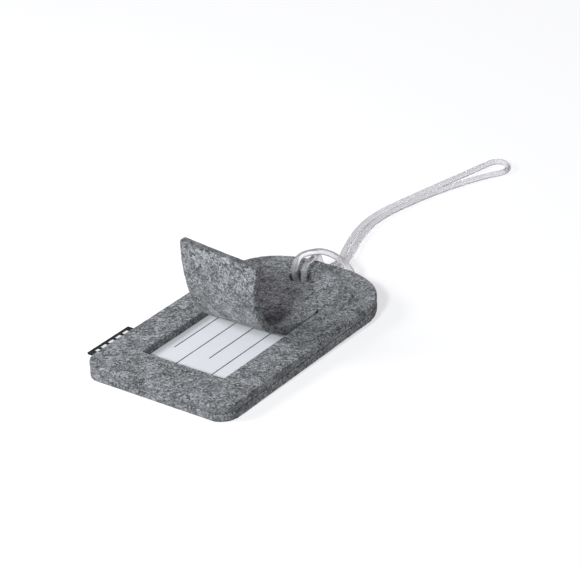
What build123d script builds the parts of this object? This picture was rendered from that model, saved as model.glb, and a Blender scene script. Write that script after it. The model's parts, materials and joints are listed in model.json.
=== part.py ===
from build123d import *
import math
import os

# Luggage tag of grey felt, lying on a table with its privacy flap curled open.
# Two felt panels are bonded round a card pocket.  A tongue cut from the front
# panel is the flap.  A clear soft strap is hitched through the hole.
#
# Tag frame: X across, Y towards the strap hole, Z up, origin in the middle of
# the tag's underside.  on_table() turns that into the part's own frame.

# ---- driving dimensions, millimetres and degrees ----
tag_length = 110.0
tag_width = 65.0
felt_thickness = 3.0
bond_thickness = 0.3
edge_round = 0.8
near_corner_radius = 7.4
shoulder_width = 19.5
shoulder_drop = 10.0
shoulder_radius = 20.0
crown_radius = 27.5

window_width = 36.3
window_length = 60.4
window_margin = 18.0
flap_kerf = 0.5
cut_past = 1.0

hole_radius = 4.8
hole_offset = -3.5
hole_to_end = 14.0

card_width = 50.0
card_length = 80.0
card_thickness = 0.25
card_margin = 7.0
pocket_clearance = 1.0
bond_inset = 0.8

label_length = 23.0
label_reach = 6.0
label_grip = 6.0
label_margin = 10.5
label_fold_radius = 0.45

# The flap bends along lines that cross it aslant, this far from its root at its two sides.
bends_right = [11.0, 23.0, 33.0, 40.0, 48.0]
bends_left = [16.0, 22.0, 26.0, 31.0, 57.0]
bend_gap = 0.3
rest_bends = [15.0, 14.0, 29.0, 19.0, 20.0]

strap_diameter = 2.4
strap_clearance = 0.2

# ---- sizes worked out from them ----
tag_thickness = 2 * felt_thickness + bond_thickness
half_length = tag_length / 2
half_width = tag_width / 2
front_bottom = felt_thickness + bond_thickness
window_near = window_margin - half_length
window_far = window_near + window_length
hole_y = half_length - hole_to_end
card_y = card_margin - half_length + card_length / 2
label_y = label_margin - half_length + label_length / 2
flap_half_width = window_width / 2 - flap_kerf
flap_length = window_length - flap_kerf

# The strap passes under the felt between hole and end, so the tag leans on it.
web_middle = half_length - (hole_to_end - hole_radius) / 2
lean = math.degrees(math.asin((strap_diameter + strap_clearance) / (web_middle + half_length)))


def on_table(shape):
    """Lean the tag about its near lower edge and centre the outline, label included."""
    lifted = shape.moved(Pos(0, half_length, 0))
    leaned = lifted.moved(Rot(lean, 0, 0))
    return leaned.moved(Pos(label_reach / 2, -half_length, 0))


def tag_outline(inset):
    """Face of the tag's plan: square near end, far end tapered to a soft crown."""
    side = half_width - inset
    end = half_length - inset
    shoulder = half_length - shoulder_drop - inset / 2
    crown = half_width - shoulder_width - inset / 2
    corners = [(-side, -end), (side, -end), (side, shoulder), (crown, end), (-crown, end), (-side, shoulder)]
    radii = [
        near_corner_radius,
        near_corner_radius,
        shoulder_radius,
        crown_radius,
        crown_radius,
        shoulder_radius,
    ]
    ring = FilletPolyline(*corners, radius=[r - inset for r in radii], close=True)
    return make_face(ring.edges())


def slab(face, bottom, thickness):
    return extrude(face.moved(Pos(0, 0, bottom)), thickness, dir=(0, 0, 1))


def block(x, y, width, length, bottom, thickness):
    return slab(Pos(x, y) * Rectangle(width, length), bottom, thickness)


def strap_hole(radius):
    return Pos(hole_offset, hole_y, tag_thickness / 2) * Cylinder(radius, 2 * tag_thickness)


def rounded_rim(solid, z):
    """Round the outer rim of a panel where the felt's cut edge is worn soft."""
    rim = solid.edges().filter_by_position(Axis.Z, z - edge_round / 4, z + edge_round / 4)
    return fillet(rim, edge_round)


def back_panel():
    plate = rounded_rim(slab(tag_outline(0), 0, felt_thickness), 0)
    return plate - strap_hole(hole_radius)


def front_panel():
    plate = rounded_rim(slab(tag_outline(0), front_bottom, felt_thickness), tag_thickness)
    middle = (window_near + window_far) / 2
    depth = felt_thickness + 2 * cut_past
    window = block(0, middle, window_width, window_length, front_bottom - cut_past, depth)
    return plate - window - strap_hole(hole_radius)


def bond_frame():
    """Film of adhesive round the pocket, set back from the edges, open under the window."""
    film = slab(tag_outline(bond_inset), felt_thickness, bond_thickness)
    width = card_width + 2 * pocket_clearance
    length = card_length + 2 * pocket_clearance
    bottom = felt_thickness - cut_past
    depth = bond_thickness + 2 * cut_past
    pocket = block(0, card_y, width, length, bottom, depth)
    notch = block(-half_width, label_y, 2 * label_grip, label_length, bottom, depth)
    return film - pocket - notch - strap_hole(hole_radius + bond_inset)


def name_card():
    return block(0, card_y, card_width, card_length, felt_thickness, card_thickness)


def side_label():
    """Folded woven ribbon held in the seam, its fold outwards."""
    fold_x = -half_width - label_reach + label_fold_radius
    held_x = -half_width + label_grip
    ribbon = block((fold_x + held_x) / 2, label_y, held_x - fold_x, label_length, felt_thickness, bond_thickness)
    middle = felt_thickness + bond_thickness / 2
    fold = Pos(fold_x, label_y, middle) * Rot(90, 0, 0) * Cylinder(label_fold_radius, label_length)
    return ribbon + fold


def flap_lines():
    """The root and each bend line, as their distances from the root at the left and right sides."""
    return [(0.0, 0.0)] + list(zip(bends_left, bends_right))


def hinge_edge(line):
    """The hinge line on the felt's upper face, from the flap's right side to its left."""
    left, right = line
    start = (flap_half_width, window_far - right, tag_thickness)
    end = (-flap_half_width, window_far - left, tag_thickness)
    return Edge.make_line(start, end)


def hinge_axis(edge):
    return Axis(edge @ 0, edge @ 1 - edge @ 0)


def curled(shape, hinges):
    """Turn a flat piece of the flap about each hinge that carries it, outermost first."""
    angles = [0.0] + rest_bends
    for number in reversed(range(hinges)):
        axis = hinge_axis(hinge_edge(flap_lines()[number]))
        shape = shape.rotate(axis, angles[number])
    return shape


def flap_strips():
    """The flap as strips that share its bend lines, flat in the window and then curled."""
    lines = flap_lines()
    ends = lines[1:] + [(flap_length, flap_length)]
    strips = []
    for number, (start, end) in enumerate(zip(lines, ends)):
        tip = number == len(lines) - 1
        trim = 0.0 if tip else bend_gap / 2
        corners = [
            (-flap_half_width, window_far - start[0] - bend_gap / 2),
            (flap_half_width, window_far - start[1] - bend_gap / 2),
            (flap_half_width, window_far - end[1] + trim),
            (-flap_half_width, window_far - end[0] + trim),
        ]
        face = make_face(Polyline(*corners, close=True).edges())
        flat = slab(face, front_bottom, felt_thickness)
        strips.append(curled(flat, number + 1))
    return strips


# ---- strap: one closed loop, hitched round the felt between hole and end ----
# Points of its middle line in the part's own frame.
strap_route = [
    (-3.3, 41.3, 4.6),
    (-3.8, 40.4, 9.2),
    (-4.3, 41.6, 12.6),
    (-3.4, 43.8, 15.4),
    (-0.3, 46.2, 16.6),
    (3.5, 48.6, 17.2),
    (6.8, 51.6, 15.2),
    (9.5, 54.4, 11.6),
    (11.1, 57.1, 7.4),
    (10.6, 59.4, 2.4),
    (5.8, 60.8, 1.2),
    (0.2, 60.8, 1.2),
    (-3.9, 60.2, 2.2),
    (-4.6, 58.6, 6.6),
    (-3.8, 56.1, 11.0),
    (-2.5, 50.8, 11.4),
    (-1.2, 46.0, 12.4),
    (-0.5, 42.6, 11.4),
    (-0.4, 41.6, 7.2),
    (-0.2, 42.2, 3.0),
    (0.6, 44.9, 1.2),
    (1.3, 50.4, 1.2),
    (1.6, 55.4, 1.3),
    (2.3, 59.6, 4.8),
    (1.9, 63.4, 4.4),
    (0.2, 68.2, 2.0),
    (-2.3, 74.4, 1.2),
    (-6.2, 83.4, 1.2),
    (-10.1, 93.6, 1.2),
    (-12.8, 103.8, 1.2),
    (-13.9, 113.8, 1.2),
    (-13.4, 123.9, 1.2),
    (-11.6, 134.0, 1.2),
    (-9.6, 144.6, 1.2),
    (-6.4, 156.2, 1.2),
    (-2.6, 167.4, 1.2),
    (1.6, 176.4, 1.2),
    (4.7, 181.6, 1.2),
    (3.6, 186.8, 1.2),
    (-1.0, 190.8, 1.2),
    (-5.0, 189.0, 1.2),
    (-6.4, 182.6, 1.2),
    (-7.9, 173.0, 1.2),
    (-9.8, 162.6, 1.2),
    (-11.8, 151.6, 1.2),
    (-13.8, 140.2, 1.2),
    (-15.7, 129.2, 1.2),
    (-17.0, 119.1, 1.2),
    (-16.7, 108.5, 1.2),
    (-14.6, 97.7, 1.2),
    (-10.8, 86.5, 1.2),
    (-6.7, 76.6, 1.2),
    (-3.4, 69.2, 2.0),
    (-1.0, 63.6, 4.4),
    (-0.5, 59.4, 4.8),
    (-1.1, 55.2, 1.3),
    (-1.6, 50.6, 1.2),
    (-2.2, 46.6, 1.2),
    (-2.8, 43.9, 1.3),
    (-3.1, 42.2, 2.6),
    (-3.3, 41.4, 4.5),
]


def route_radii(points):
    """Arc radius at each turn: 0.45 of the shorter run over the tangent of half the turn."""
    radii = []
    for before, here, after in zip(points, points[1:], points[2:]):
        first = Vector(*here) - Vector(*before)
        second = Vector(*after) - Vector(*here)
        half_turn = math.radians(first.get_angle(second)) / 2
        radii.append(0.45 * min(first.length, second.length) / math.tan(half_turn))
    return radii


def strap():
    radii = route_radii(strap_route)
    path = FilletPolyline(*strap_route, radius=radii)
    start = Plane(origin=path @ 0, z_dir=path % 0)
    tube = sweep(start * Circle(strap_diameter / 2), path=path)
    section = math.pi * strap_diameter**2 / 4
    print("strap radii", [round(r, 1) for r in radii])
    print("strap length", round(path.length, 1), "volume ratio", round(tube.volume / section / path.length, 4))
    return tube


def write(name, shape):
    export_step(shape, "parts/" + name + ".step")


os.makedirs("parts", exist_ok=True)
write("front_panel", on_table(front_panel()))
write("back_panel", on_table(back_panel()))
write("bond_film", on_table(bond_frame()))
write("name_card", on_table(name_card()))
write("side_label", on_table(side_label()))
for number, strip in enumerate(flap_strips()):
    write("flap_strip_" + str(number + 1), on_table(strip))
    hinge = on_table(curled(hinge_edge(flap_lines()[number]), number))
    middle = hinge @ 0.5
    along = (hinge @ 1 - hinge @ 0).normalized()
    print("hinge", number + 1, [round(v, 4) for v in middle], [round(v, 6) for v in along])
write("strap", strap())
print("lean", round(lean, 3))
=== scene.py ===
"""Felt luggage tag with a curled privacy flap and a clear strap, dressed over its CAD frame."""

import json
import math

import bmesh
import bpy
import numpy as np
from mathutils import Matrix, Vector, noise


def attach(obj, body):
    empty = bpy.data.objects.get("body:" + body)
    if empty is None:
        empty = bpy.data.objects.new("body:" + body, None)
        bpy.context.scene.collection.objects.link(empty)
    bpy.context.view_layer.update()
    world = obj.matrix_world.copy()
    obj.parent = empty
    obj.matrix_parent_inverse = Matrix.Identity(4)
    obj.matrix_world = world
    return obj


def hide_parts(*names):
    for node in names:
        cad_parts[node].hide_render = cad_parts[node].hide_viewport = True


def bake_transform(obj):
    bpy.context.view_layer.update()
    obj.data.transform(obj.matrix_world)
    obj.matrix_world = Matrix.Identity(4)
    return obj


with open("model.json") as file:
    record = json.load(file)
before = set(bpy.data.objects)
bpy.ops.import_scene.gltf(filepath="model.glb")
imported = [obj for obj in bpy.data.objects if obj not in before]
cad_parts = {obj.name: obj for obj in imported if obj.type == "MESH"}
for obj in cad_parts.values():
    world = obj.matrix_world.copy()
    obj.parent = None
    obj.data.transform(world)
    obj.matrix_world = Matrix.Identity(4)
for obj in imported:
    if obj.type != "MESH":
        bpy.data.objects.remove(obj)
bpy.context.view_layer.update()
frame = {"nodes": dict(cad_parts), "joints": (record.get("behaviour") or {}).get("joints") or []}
scene = bpy.context.scene
MM = 0.001

# ---- the tag, millimetres, flat in its own frame: X across, Y towards the hole, Z up ----
HALF_WIDTH = 32.5
HALF_LENGTH = 55.0
SHOULDER_Y = 45.0
CROWN_X = 13.0
NEAR_RADIUS = 7.4
SHOULDER_RADIUS = 20.0
CROWN_RADIUS = 27.5
FELT = 3.0
BOND = 0.3
TOP = 2 * FELT + BOND
HOLE_X = -3.5
HOLE_Y = 41.0
HOLE_RADIUS = 4.8
WINDOW_HALF = 18.15
WINDOW_NEAR = -37.0
WINDOW_FAR = 23.4

# ---- the flap: it fills the window but for a thin kerf, and its root is the window's far edge ----
KERF = 0.5
FLAP_HALF = WINDOW_HALF - KERF
CORNER = 1.2  # radius of the window's near corners
WIDE_CUT = 2.0  # the kerf is first cut this wide, to stay open when the felt is remeshed
ROOT_EASE = 3.0  # near the root the cuts close over this length
BENDS_RIGHT = [11.0, 23.0, 33.0, 40.0, 48.0]  # bend lines, this far from the root at its right side
BENDS_LEFT = [16.0, 22.0, 26.0, 31.0, 57.0]
REST_BENDS = [15.0, 14.0, 29.0, 19.0, 20.0]  # degrees
COLUMNS = [-WINDOW_HALF, -13.0, -8.0, -3.0, 3.0, 10.0, WINDOW_HALF]  # pieces of a bend meet here

# ---- the side label: a ribbon folded in two ----
LABEL_REACH = 6.0
LABEL_GRIP = 5.5
LABEL_LENGTH = 23.0
LABEL_Y = -33.0
FOLD_RADIUS = 0.42
HELD_HEIGHT = 0.09  # of each layer from the seam's middle where it is held
OPENS_OVER = 0.55  # share of a layer's length over which it parts from the other
RIBBON = 0.12

# ---- the strap passes under the felt between hole and end, so the tag leans on it ----
STRAP_RADIUS = 1.2
STRAP_CLEARANCE = 0.2
WEB_Y = (HOLE_Y + HOLE_RADIUS + HALF_LENGTH) / 2
LEAN = math.asin((2 * STRAP_RADIUS + STRAP_CLEARANCE) / (WEB_Y + HALF_LENGTH))
ON_TABLE = (
    Matrix.Translation((LABEL_REACH / 2 * MM, -HALF_LENGTH * MM, 0))
    @ Matrix.Rotation(LEAN, 4, "X")
    @ Matrix.Translation((0, HALF_LENGTH * MM, 0))
)

# ---- camera: lens in millimetres, place in metres, angles in degrees ----
LENS = 144.27
AIM = (-0.007778, 0.042709, 0)
DISTANCE = 0.89303
AZIMUTH = 36.37
ELEVATION = 26.445
ROLL = -1.518


# ---- camera and light ----
def make_camera():
    """A long lens that looks down on the tag from its near right."""
    data = bpy.data.cameras.new("camera")
    data.lens = LENS
    data.sensor_width = 36
    data.clip_start = 0.05
    data.clip_end = 20
    camera = bpy.data.objects.new("camera", data)
    scene.collection.objects.link(camera)
    azimuth = math.radians(AZIMUTH)
    elevation = math.radians(ELEVATION)
    roll = math.radians(ROLL)
    flat = math.cos(elevation)
    back = Vector((math.sin(azimuth) * flat, -math.cos(azimuth) * flat, math.sin(elevation)))
    right = (-back).cross(Vector((0, 0, 1))).normalized()
    up = right.cross(-back)
    side = right * math.cos(roll) + up * math.sin(roll)
    head = up * math.cos(roll) - right * math.sin(roll)
    turn = Matrix((side, head, back)).transposed().to_4x4()
    place = Vector(AIM) + back * DISTANCE
    camera.matrix_world = Matrix.Translation(place) @ turn
    scene.camera = camera


def light(name, kind, place, power, colour):
    """A lamp at a place, turned to shine on the tag."""
    data = bpy.data.lights.new(name, kind)
    data.energy = power
    data.color = colour
    lamp = bpy.data.objects.new(name, data)
    scene.collection.objects.link(lamp)
    lamp.location = place
    lamp.rotation_euler = Vector(place).to_track_quat("Z", "Y").to_euler()
    return data


def make_studio():
    """A pale table, a soft sky, a key light from the near right and a weak one from the near left."""
    world = bpy.data.worlds.new("studio")
    world.use_nodes = True
    sky = world.node_tree.nodes["Background"]
    sky.inputs["Color"].default_value = (1.0, 0.95, 1.0, 1)
    sky.inputs["Strength"].default_value = 0.2
    scene.world = world
    key = light("key", "SUN", place=(0.24, -0.9, 0.56), power=2.9, colour=(0.93, 1.0, 0.985))
    key.angle = math.radians(8)
    side = light("side", "AREA", place=(-0.3, -0.31, 0.3), power=2.05, colour=(0.99, 0.99, 1.0))
    side.shape = "DISK"
    side.size = 0.25
    scene.view_settings.view_transform = "Standard"
    build = bmesh.new()
    bmesh.ops.create_grid(build, x_segments=1, y_segments=1, size=3.0)
    floor = piece_from(build, "floor")
    paint(floor, floor_material())


# ---- small helpers ----
def piece_from(build, name):
    """A new object from a bmesh, which is used up."""
    mesh = bpy.data.meshes.new(name)
    build.to_mesh(mesh)
    build.free()
    thing = bpy.data.objects.new(name, mesh)
    scene.collection.objects.link(thing)
    return thing


def paint(thing, material):
    thing.data.materials.clear()
    thing.data.materials.append(material)


def smooth(thing):
    for face in thing.data.polygons:
        face.use_smooth = True


def new_material(name, **settings):
    """A material, its node tree and its shader, with sockets set by name (Base_Color for Base Color)."""
    material = bpy.data.materials.new(name)
    material.use_nodes = True
    shader = material.node_tree.nodes["Principled BSDF"]
    for socket, value in settings.items():
        shader.inputs[socket.replace("_", " ")].default_value = value
    return material, material.node_tree, shader


def node(tree, kind, **settings):
    made = tree.nodes.new(kind)
    for key, value in settings.items():
        setattr(made, key, value)
    return made


def object_place(tree):
    return node(tree, "ShaderNodeTexCoord").outputs["Object"]


def across_and_along(tree, place):
    axes = node(tree, "ShaderNodeSeparateXYZ")
    tree.links.new(place, axes.inputs[0])
    return axes.outputs["X"], axes.outputs["Y"]


def math_of(tree, operation, first, second=None, third=None):
    """The result of a Math node on sockets or plain numbers."""
    made = node(tree, "ShaderNodeMath", operation=operation)
    for slot, value in enumerate((first, second, third)):
        if value is None:
            continue
        if isinstance(value, (int, float)):
            made.inputs[slot].default_value = value
        else:
            tree.links.new(value, made.inputs[slot])
    return made.outputs[0]


def near_value(tree, value, middle, reach):
    """1 where a value lies within reach of a middle, 0 elsewhere."""
    off = math_of(tree, "ABSOLUTE", math_of(tree, "SUBTRACT", value, middle))
    return math_of(tree, "LESS_THAN", off, reach)


def noise_of(tree, place, scale, detail, roughness=0.55, distortion=0.0, kind="FBM"):
    made = node(tree, "ShaderNodeTexNoise", noise_type=kind)
    made.inputs["Scale"].default_value = scale
    made.inputs["Detail"].default_value = detail
    made.inputs["Roughness"].default_value = roughness
    made.inputs["Distortion"].default_value = distortion
    tree.links.new(place, made.inputs["Vector"])
    return made.outputs["Fac"]


def ramp_of(tree, value, stops):
    """A value turned into a colour by stops of (value, colour)."""
    made = node(tree, "ShaderNodeValToRGB")
    elements = made.color_ramp.elements
    while len(elements) < len(stops):
        elements.new(0.5)
    for element, (where, colour) in zip(elements, stops):
        element.position = where
        element.color = (*colour, 1)
    tree.links.new(value, made.inputs["Fac"])
    return made.outputs["Color"]


def mix_of(tree, share, first, second):
    """Two colours mixed, each a socket or a plain colour."""
    made = node(tree, "ShaderNodeMix", data_type="RGBA")
    for slot, value in ((0, share), (6, first), (7, second)):
        if isinstance(value, tuple):
            made.inputs[slot].default_value = (*value, 1)
        else:
            tree.links.new(value, made.inputs[slot])
    return made.outputs[2]


def bump_of(tree, shader, height, strength, distance):
    made = node(tree, "ShaderNodeBump")
    made.inputs["Strength"].default_value = strength
    made.inputs["Distance"].default_value = distance
    tree.links.new(height, made.inputs["Height"])
    tree.links.new(made.outputs["Normal"], shader.inputs["Normal"])


# ---- materials ----
def floor_material():
    """A matt table with a faint glow of its own, so that it stays white."""
    made = new_material(
        "white_table",
        Base_Color=(0.4, 0.4, 0.4, 1),
        Roughness=1.0,
        Specular_IOR_Level=0.0,
        Emission_Color=(0.985, 0.975, 1.0, 1),
        Emission_Strength=0.66,
    )
    return made[0]


def felt_material():
    """Marled wool felt: dark and light fibres matted into a mid grey, darker on cut edges, with painted
    shade on its underside.
    """
    material, tree, shader = new_material(
        "marled_felt",
        Roughness=0.95,
        Specular_IOR_Level=0.2,
        Sheen_Weight=0.12,
        Sheen_Roughness=0.6,
    )
    place = node(tree, "ShaderNodeAttribute", attribute_name="felt_place").outputs["Vector"]
    edge = node(tree, "ShaderNodeAttribute", attribute_name="cut_edge").outputs["Fac"]
    clouds = noise_of(tree, place, scale=190, detail=2)
    tufts = noise_of(tree, place, scale=560, detail=5, roughness=0.62, distortion=2.0)
    grain = noise_of(tree, place, scale=2200, detail=3, roughness=0.6)
    shade = math_of(tree, "MULTIPLY_ADD", tufts, 0.64, math_of(tree, "MULTIPLY", clouds, 0.14))
    shade = math_of(tree, "MULTIPLY_ADD", grain, 0.22, shade)
    wool = ramp_of(
        tree,
        shade,
        [
            (0.39, (0.012, 0.012, 0.014)),
            (0.45, (0.06, 0.061, 0.066)),
            (0.51, (0.165, 0.169, 0.18)),
            (0.58, (0.36, 0.37, 0.393)),
        ],
    )
    ridges = noise_of(tree, place, 430, 6, roughness=0.6, distortion=2.2, kind="RIDGED_MULTIFRACTAL")
    threads = ramp_of(tree, ridges, [(0.62, (0, 0, 0)), (0.8, (1, 1, 1))])
    wool = mix_of(tree, math_of(tree, "MULTIPLY", threads, 0.35), wool, (0.42, 0.428, 0.445))
    # cut edges darkened, and the underside darkened by half as painted shade
    wool = mix_of(tree, math_of(tree, "MULTIPLY", edge, 0.4), wool, (0.03, 0.029, 0.032))
    tree.links.new(wool, shader.inputs["Base Color"])
    height = math_of(tree, "MULTIPLY_ADD", grain, 0.5, tufts)
    bump_of(tree, shader, height, strength=0.7, distance=0.0003)
    return material


def strap_material():
    """Clear soft plastic with a faint haze and an uneven surface."""
    material, tree, shader = new_material(
        "clear_strap",
        Base_Color=(0.83, 0.82, 0.845, 1),
        Roughness=0.27,
        IOR=1.33,
        Transmission_Weight=0.86,
    )
    uneven = noise_of(tree, object_place(tree), scale=350, detail=2)
    bump_of(tree, shader, uneven, strength=0.12, distance=0.0004)
    return material


def card_material():
    """Smooth pale card with ruled lines along it, every other one longer."""
    lines = 4
    pitch = 0.00795
    first = -0.0111
    half_thickness = 0.00024
    short_start = -0.0245
    longer = -0.012
    material, tree, shader = new_material("ruled_card", Roughness=0.55)
    place = object_place(tree)
    across, along = across_and_along(tree, place)
    steps = math_of(tree, "DIVIDE", math_of(tree, "SUBTRACT", across, first), pitch)
    number = math_of(tree, "ROUND", steps)
    off = math_of(tree, "ABSOLUTE", math_of(tree, "SUBTRACT", steps, number))
    ruled = math_of(tree, "LESS_THAN", math_of(tree, "MULTIPLY", off, pitch), half_thickness)
    inside = near_value(tree, number, (lines - 1) / 2, lines / 2)
    start = math_of(tree, "MULTIPLY_ADD", math_of(tree, "MODULO", number, 2.0), longer, short_start)
    begun = math_of(tree, "GREATER_THAN", along, start)
    line = math_of(tree, "MULTIPLY", math_of(tree, "MULTIPLY", ruled, inside), begun)
    paper = noise_of(tree, place, scale=900, detail=4)
    stock = mix_of(tree, paper, (0.68, 0.68, 0.72), (0.73, 0.73, 0.77))
    tree.links.new(mix_of(tree, line, stock, (0.04, 0.04, 0.05)), shader.inputs["Base Color"])
    bump_of(tree, shader, noise_of(tree, place, scale=2500, detail=3), strength=0.08, distance=0.0002)
    return material


def film_material():
    """Dark bonding film, seen only as the line between the layers."""
    material, tree, shader = new_material("bonding_film", Roughness=0.7)
    mottle = noise_of(tree, object_place(tree), scale=900, detail=3)
    tone = ramp_of(tree, mottle, [(0.3, (0.01, 0.01, 0.011)), (0.7, (0.035, 0.035, 0.037))])
    tree.links.new(tone, shader.inputs["Base Color"])
    return material


def ribbon_material():
    """Black woven ribbon with a plain row of pale woven blocks."""
    row = -0.0331
    row_half_width = 0.0006
    row_middle = -0.033
    row_half_length = 0.0094
    block_pitch = 0.0041
    block_start = -0.0433
    block_share = 0.62
    material, tree, shader = new_material("woven_ribbon", Roughness=0.6)
    place = object_place(tree)
    across, along = across_and_along(tree, place)
    steps = math_of(tree, "DIVIDE", math_of(tree, "SUBTRACT", along, block_start), block_pitch)
    block = math_of(tree, "LESS_THAN", math_of(tree, "FRACT", steps), block_share)
    middle = near_value(tree, across, row, row_half_width)
    ends = near_value(tree, along, row_middle, row_half_length)
    mark = math_of(tree, "MULTIPLY", math_of(tree, "MULTIPLY", block, middle), ends)
    mottle = noise_of(tree, place, scale=3000, detail=2)
    dark = mix_of(tree, mottle, (0.004, 0.004, 0.005), (0.016, 0.016, 0.017))
    tree.links.new(mix_of(tree, mark, dark, (0.72, 0.72, 0.72)), shader.inputs["Base Color"])
    weave = node(tree, "ShaderNodeTexWave", wave_type="BANDS", bands_direction="Y")
    weave.inputs["Scale"].default_value = 900
    tree.links.new(place, weave.inputs["Vector"])
    bump_of(tree, shader, weave.outputs["Fac"], strength=0.4, distance=0.0001)
    return material


# ---- strap: the same route as the CAD tube, in the part's own frame ----
STRAP_ROUTE = [
    (-3.3, 41.3, 4.6),
    (-3.8, 40.4, 9.2),
    (-4.3, 41.6, 12.6),
    (-3.4, 43.8, 15.4),
    (-0.3, 46.2, 16.6),
    (3.5, 48.6, 17.2),
    (6.8, 51.6, 15.2),
    (9.5, 54.4, 11.6),
    (11.1, 57.1, 7.4),
    (10.6, 59.4, 2.4),
    (5.8, 60.8, 1.2),
    (0.2, 60.8, 1.2),
    (-3.9, 60.2, 2.2),
    (-4.6, 58.6, 6.6),
    (-3.8, 56.1, 11.0),
    (-2.5, 50.8, 11.4),
    (-1.2, 46.0, 12.4),
    (-0.5, 42.6, 11.4),
    (-0.4, 41.6, 7.2),
    (-0.2, 42.2, 3.0),
    (0.6, 44.9, 1.2),
    (1.3, 50.4, 1.2),
    (1.6, 55.4, 1.3),
    (2.3, 59.6, 4.8),
    (1.5, 63.4, 4.4),
    (-0.4, 68.2, 2.0),
    (-3.0, 74.4, 1.2),
    (-6.2, 83.4, 1.2),
    (-10.1, 93.6, 1.2),
    (-12.8, 103.8, 1.2),
    (-13.9, 113.8, 1.2),
    (-13.4, 123.9, 1.2),
    (-11.6, 134.0, 1.2),
    (-9.6, 144.6, 1.2),
    (-6.4, 156.2, 1.2),
    (-2.6, 167.4, 1.2),
    (1.6, 176.4, 1.2),
    (4.7, 181.6, 1.2),
    (3.6, 186.8, 1.2),
    (-1.0, 190.8, 1.2),
    (-5.0, 189.0, 1.2),
    (-6.4, 182.6, 1.2),
    (-7.9, 173.0, 1.2),
    (-9.8, 162.6, 1.2),
    (-11.8, 151.6, 1.2),
    (-13.8, 140.2, 1.2),
    (-15.7, 129.2, 1.2),
    (-17.0, 119.1, 1.2),
    (-16.7, 108.5, 1.2),
    (-14.6, 97.7, 1.2),
    (-10.8, 86.5, 1.2),
    (-6.7, 76.6, 1.2),
    (-3.4, 69.2, 2.0),
    (-1.0, 63.6, 4.4),
    (-0.5, 59.4, 4.8),
    (-1.1, 55.2, 1.3),
    (-1.6, 50.6, 1.2),
    (-2.2, 46.6, 1.2),
    (-2.8, 43.9, 1.3),
    (-3.1, 42.2, 2.6),
    (-3.3, 41.4, 4.5),
]


def make_strap():
    """The closed loop of clear cord, hitched round the felt between hole and end."""
    data = bpy.data.curves.new("strap_loop", "CURVE")
    data.dimensions = "3D"
    data.bevel_depth = STRAP_RADIUS * MM
    data.bevel_resolution = 7
    data.use_fill_caps = True
    data.resolution_u = 10
    line = data.splines.new("NURBS")
    line.points.add(len(STRAP_ROUTE) - 1)
    for point, (x, y, z) in zip(line.points, STRAP_ROUTE):
        point.co = (x * MM, y * MM, z * MM, 1)
    line.order_u = 3
    line.use_endpoint_u = True
    strap = bpy.data.objects.new("strap_loop", data)
    scene.collection.objects.link(strap)
    paint(strap, strap_material())
    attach(strap, "tag")
    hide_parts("strap")
    x, y, z = STRAP_ROUTE[0]


# ---- felt layers, flat and in millimetres until place_on_table ----
def outline(build, low, high):
    """The tag's plan as a solid: square near end, tapered far end with a soft crown."""
    corners = [
        (-HALF_WIDTH, -HALF_LENGTH, NEAR_RADIUS),
        (HALF_WIDTH, -HALF_LENGTH, NEAR_RADIUS),
        (HALF_WIDTH, SHOULDER_Y, SHOULDER_RADIUS),
        (CROWN_X, HALF_LENGTH, CROWN_RADIUS),
        (-CROWN_X, HALF_LENGTH, CROWN_RADIUS),
        (-HALF_WIDTH, SHOULDER_Y, SHOULDER_RADIUS),
    ]
    points = [build.verts.new((x, y, low)) for x, y, radius in corners]
    build.faces.new(points)
    for index, (point, (x, y, radius)) in enumerate(zip(points, corners)):
        before = Vector(corners[index - 1][:2])
        after = Vector(corners[(index + 1) % len(corners)][:2])
        here = Vector((x, y))
        turn = (here - before).angle(after - here)
        bmesh.ops.bevel(
            build,
            geom=[point],
            offset=radius * math.tan(turn / 2),
            offset_type="OFFSET",
            affect="VERTICES",
            segments=20,
            profile=0.5,
            material=-1,
        )
    raise_up(build, high - low)


def raise_up(build, height):
    """Extrude a flat face upwards into a closed solid."""
    made = bmesh.ops.extrude_face_region(build, geom=build.faces[:])
    moved = [part for part in made["geom"] if isinstance(part, bmesh.types.BMVert)]
    bmesh.ops.translate(build, verts=moved, vec=(0, 0, height))
    bmesh.ops.recalc_face_normals(build, faces=build.faces[:])


def hole_cutter():
    build = bmesh.new()
    bmesh.ops.create_cone(
        build,
        cap_ends=True,
        segments=72,
        radius1=HOLE_RADIUS,
        radius2=HOLE_RADIUS,
        depth=4 * TOP,
        matrix=Matrix.Translation((HOLE_X, HOLE_Y, 0)),
    )
    return piece_from(build, "hole_cutter")


def slot_cutter(low, high):
    """A block between two corners of the plan, tall enough to cut right through the felt."""
    build = bmesh.new()
    size = Vector((high[0] - low[0], high[1] - low[1], 4 * TOP, 1))
    middle = Vector((low[0] + high[0], low[1] + high[1], 0)) / 2
    place = Matrix.Translation(middle) @ Matrix.Diagonal(size)
    bmesh.ops.create_cube(build, size=1, matrix=place)
    return piece_from(build, "slot_cutter")


def flap_cutters():
    """The three cuts that free the flap."""
    inner = WINDOW_HALF - WIDE_CUT
    return [
        slot_cutter((-WINDOW_HALF, WINDOW_NEAR), (-inner, WINDOW_FAR)),
        slot_cutter((inner, WINDOW_NEAR), (WINDOW_HALF, WINDOW_FAR)),
        slot_cutter((-WINDOW_HALF, WINDOW_NEAR), (WINDOW_HALF, WINDOW_NEAR + WIDE_CUT)),
    ]


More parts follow.
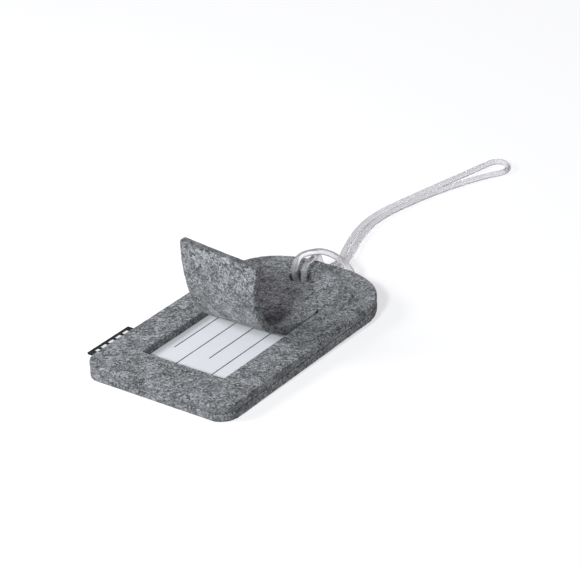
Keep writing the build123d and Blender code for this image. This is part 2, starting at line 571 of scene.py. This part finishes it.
def felt_block(name, low, high, cutters):
    """A felt layer as one fine even mesh with soft edges."""
    build = bmesh.new()
    outline(build, low, high)
    block = piece_from(build, name + "_block")
    for cutter in cutters:
        cut = block.modifiers.new("cut", "BOOLEAN")
        cut.operation = "DIFFERENCE"
        cut.solver = "EXACT"
        cut.object = cutter
    fine = block.modifiers.new("fine", "REMESH")
    fine.mode = "VOXEL"
    fine.voxel_size = 0.42
    soft = block.modifiers.new("soft", "SMOOTH")
    soft.factor = 0.5
    soft.iterations = 5
    shown = block.evaluated_get(bpy.context.evaluated_depsgraph_get())
    build = bmesh.new()
    build.from_mesh(shown.to_mesh())
    shown.to_mesh_clear()
    for old in [block, *cutters]:
        bpy.data.objects.remove(old)
    return build


def vectors(build, what):
    return np.array([getattr(vert, what)[:] for vert in build.verts], float)


def matted(points, normals):
    """Felt's uneven matted surface: points moved along their normals by broad waves and fine fuzz."""
    lift = np.empty(len(points))
    for index, point in enumerate(points):
        wave = noise.noise(Vector(point) / 2.6)
        fuzz = noise.noise(Vector(point) / 0.9)
        lift[index] = 0.07 * wave + 0.05 * fuzz
    return points + normals * lift[:, None]


def place_on_table(build, flat, normals, shaped):
    """Move a layer into the part's frame, and keep what its pattern needs.

    felt_place is the place on the flat felt, so that the marling bends with it. The darkening attribute
    is 0 on the felt's upper face, 1 on its cut edges and half on its underside, where the half is painted
    shade.
    """
    layer = build.verts.layers.float_vector.new("felt_place")
    edge = build.verts.layers.float.new("cut_edge")
    turn = np.array(ON_TABLE)
    moved = shaped * MM @ turn[:3, :3].T + turn[:3, 3]
    for vert, before, normal, after in zip(build.verts, flat * MM, normals, moved):
        # upper faces stay clear; the underside keeps only half, and that half is painted shade
        unshaded_share = 1.0 if normal[2] > 0 else 0.5
        vert[layer] = before
        vert[edge] = 1 - normal[2] ** 2 * unshaded_share
        vert.co = after
    return moved


def felt_piece(build, name, material, faces_kept):
    """Copy of a felt mesh that keeps some faces, as a piece of the object."""
    part = build.copy()
    part.faces.ensure_lookup_table()
    dropped = [face for face, kept in zip(part.faces, faces_kept) if not kept]
    bmesh.ops.delete(part, geom=dropped, context="FACES")
    piece = piece_from(part, name)
    smooth(piece)
    paint(piece, material)
    return piece


def make_back_layer(material):
    build = felt_block("back_layer", 0, FELT, [hole_cutter()])
    flat = vectors(build, "co")
    normals = vectors(build, "normal")
    place_on_table(build, flat, normals, matted(flat, normals))
    panel = felt_piece(build, "back_felt", material, np.ones(len(build.faces), bool))
    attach(panel, "tag")
    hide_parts("back_panel")
    build.free()


# ---- how the flap bends ----
def bend_number(x, y):
    """Where places on the flap lie among its bend lines: 0 on the first, 1 on the next, and so on."""
    left_share = (FLAP_HALF - x) / (2 * FLAP_HALF)
    from_root = WINDOW_FAR - y
    lines = np.outer(BENDS_RIGHT, 1 - left_share) + np.outer(BENDS_LEFT, left_share)
    span = np.clip((lines < from_root).sum(axis=0) - 1, 0, len(lines) - 2)
    column = np.arange(len(x))
    start = lines[span, column]
    return span + (from_root - start) / (lines[span + 1, column] - start)


def line_across(right, left):
    """The two ends of a line across the flap on the felt's upper face, right side first."""
    start = np.array([FLAP_HALF, WINDOW_FAR - right, TOP])
    end = np.array([-FLAP_HALF, WINDOW_FAR - left, TOP])
    return start, end


def bend_line(number):
    return line_across(BENDS_RIGHT[number], BENDS_LEFT[number])


def seam_line(number):
    """The line half a step before a bend line, where one piece of the flap meets the next."""
    upper = max(number, 1)

    def half_before(bends):
        return bends[number] - (bends[upper] - bends[upper - 1]) / 2

    return line_across(half_before(BENDS_RIGHT), half_before(BENDS_LEFT))


def turned(points, start, end, angles):
    """Points turned about the line from start to end, each by its own angle."""
    axis = (end - start) / np.linalg.norm(end - start)
    arm = points - start
    along = (arm @ axis)[:, None] * axis
    out = arm - along
    across = np.cross(axis, out)
    return start + along + out * np.cos(angles)[:, None] + across * np.sin(angles)[:, None]


def curl(points, place):
    """Flat flap points curled as the flap rests, each bend spread evenly to its neighbours."""
    for number in reversed(range(len(REST_BENDS))):
        step = np.clip((place - number + 1) / 2, 0, 1)
        share = np.where(step < 0.5, 2 * step**2, 1 - 2 * (1 - step) ** 2)
        start, end = bend_line(number)
        points = turned(points, start, end, np.radians(REST_BENDS[number]) * share)
    return points


def strip_heading(bends):
    """Direction from the root towards the tip after that many of the resting bends."""
    points = np.array([[0, 0, TOP], [0, -1, TOP]], float)
    for number in reversed(range(bends)):
        start, end = bend_line(number)
        points = turned(points, start, end, np.radians(np.full(2, REST_BENDS[number])))
    return (ON_TABLE.to_3x3() @ Vector(points[1] - points[0])).normalized()


# ---- the front layer and its flap ----
def in_flap(x, y):
    """Whether places on the flat front layer lie inside the middle of the kerf, for numbers or arrays."""
    corner_x = abs(x) - (WINDOW_HALF - CORNER)
    corner_y = WINDOW_NEAR + CORNER - y
    reach = CORNER - KERF / 2
    cut_off = (corner_x > 0) & (corner_y > 0) & (corner_x**2 + corner_y**2 > reach**2)
    return (corner_x < reach) & (corner_y < reach) & (y < WINDOW_FAR) & np.logical_not(cut_off)


def widen_flap(build):
    """Stretch the flap sideways and lengthways until only the thin kerf is left round it."""
    middle = WIDE_CUT / 2
    wider = FLAP_HALF / (WINDOW_HALF - WIDE_CUT) - 1
    longer = (WIDE_CUT - KERF) / (WINDOW_FAR - WINDOW_NEAR - WIDE_CUT)
    for vert in build.verts:
        x, y = vert.co.x, vert.co.y
        if abs(x) < WINDOW_HALF - middle and WINDOW_NEAR + middle < y < WINDOW_FAR:
            ease = min(1.0, (WINDOW_FAR - y) / ROOT_EASE)
            vert.co.x = x * (1 + wider * ease)
            vert.co.y = y - (WINDOW_FAR - y) * longer


def cut_flap(build, here, facing):
    """Cut the flap's faces along a plane, and the felt just beyond its root too."""
    near = []
    for face in build.faces:
        middle = face.calc_center_median()
        if in_flap(middle.x, middle.y - 1) or in_flap(middle.x, middle.y):
            near.append(face)
    edges = {edge for face in near for edge in face.edges}
    points = {vert for face in near for vert in face.verts}
    bmesh.ops.bisect_plane(
        build,
        geom=[*near, *edges, *points],
        dist=1e-5,
        plane_co=here,
        plane_no=facing,
    )


def cut_flap_seams(build):
    """Cut the flap's faces along the root, between the bends and between the columns."""
    cut_flap(build, (0, WINDOW_FAR, 0), (0, 1, 0))
    for number in range(len(REST_BENDS)):
        start, end = seam_line(number)
        along = Vector(end - start)
        cut_flap(build, start, along.cross(Vector((0, 0, 1))))
    for x in COLUMNS[1:-1]:
        cut_flap(build, (x, 0, 0), (1, 0, 0))


def blend_over(piece, joint, number):
    """Bake a flap piece's transform; its heading across the joint's axis is worked out but not used."""
    axis = Vector(joint["axis"]).normalized()
    heading = strip_heading(number) + strip_heading(number + 1)
    heading = (heading - axis * heading.dot(axis)).normalized()
    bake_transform(piece)


def make_front_layer(material):
    """The front panel, and the flap as a root and a row of pieces for each bend, all from one felt."""
    build = felt_block("front_layer", FELT + BOND, TOP, [hole_cutter(), *flap_cutters()])
    widen_flap(build)
    cut_flap_seams(build)
    build.verts.ensure_lookup_table()
    build.faces.ensure_lookup_table()
    build.normal_update()
    flat = vectors(build, "co")
    normals = vectors(build, "normal")
    centres = np.array([face.calc_center_median()[:] for face in build.faces])
    free = in_flap(flat[:, 0], flat[:, 1])
    place = bend_number(flat[:, 0], flat[:, 1])
    shaped = matted(flat, normals)
    shaped[free] = curl(shaped[free], place[free])
    placed = place_on_table(build, flat, normals, shaped)

    flap = in_flap(centres[:, 0], centres[:, 1])
    panel = felt_piece(build, "front_felt", material, ~flap)
    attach(panel, "tag")
    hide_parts("front_panel")

    bend = np.floor(bend_number(centres[:, 0], centres[:, 1]) + 0.5).astype(int)
    bend = np.clip(bend, -1, len(REST_BENDS) - 1)
    root = felt_piece(build, "flap_root", material, flap & (bend == -1))
    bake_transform(root)
    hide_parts("flap_strip_1")

    column = np.clip(np.searchsorted(COLUMNS, centres[:, 0]) - 1, 0, len(COLUMNS) - 2)
    joints = [joint for joint in frame["joints"] if joint["name"] != "flap_root_lift"]
    for number, joint in enumerate(joints):
        for index, (low, high) in enumerate(zip(COLUMNS, COLUMNS[1:])):
            name = f"flap_bend_{number + 1}_{index + 1}"
            piece = felt_piece(build, name, material, flap & (bend == number) & (column == index))
            blend_over(piece, joint, number)
            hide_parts(joint["child"].replace("flap_", "flap_strip_"))
    build.free()


# ---- label, card and film ----
def layer_height(from_held_end, run):
    """How far a layer of the folded ribbon lies from the middle between the two."""
    opened = min(1.0, from_held_end / (run * OPENS_OVER))
    return HELD_HEIGHT + (FOLD_RADIUS - HELD_HEIGHT) * opened


def make_label():
    """Woven ribbon folded in two, its ends held in the seam."""
    held = -HALF_WIDTH + LABEL_GRIP
    fold = -HALF_WIDTH - LABEL_REACH
    run = held - fold - FOLD_RADIUS
    around = math.pi * FOLD_RADIUS
    middle = FELT + BOND / 2
    build = bmesh.new()
    bmesh.ops.create_grid(build, x_segments=60, y_segments=46, size=0.5)
    for vert in build.verts:
        distance = (vert.co.x + 0.5) * (2 * run + around)
        if distance < run:
            x = held - distance
            z = layer_height(distance, run)
        elif distance < run + around:
            turn = (distance - run) / FOLD_RADIUS
            x = fold + FOLD_RADIUS * (1 - math.sin(turn))
            z = FOLD_RADIUS * math.cos(turn)
        else:
            back = distance - run - around
            x = fold + FOLD_RADIUS + back
            z = -layer_height(run - back, run)
        vert.co = (x, LABEL_Y + vert.co.y * LABEL_LENGTH, middle + z)
    label = piece_from(build, "folded_label")
    label.data.transform(ON_TABLE @ Matrix.Scale(MM, 4))
    thick = label.modifiers.new("cloth", "SOLIDIFY")
    thick.thickness = RIBBON * MM
    thick.offset = 0
    smooth(label)
    paint(label, ribbon_material())
    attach(label, "tag")
    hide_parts("side_label")


def dress_cad_nodes():
    """The card and the film keep their CAD meshes."""
    paint(frame["nodes"]["name_card"], card_material())
    paint(frame["nodes"]["bond_film"], film_material())


make_camera()
make_strap()
make_studio()
felt = felt_material()
make_back_layer(felt)
make_front_layer(felt)
make_label()
dress_cad_nodes()
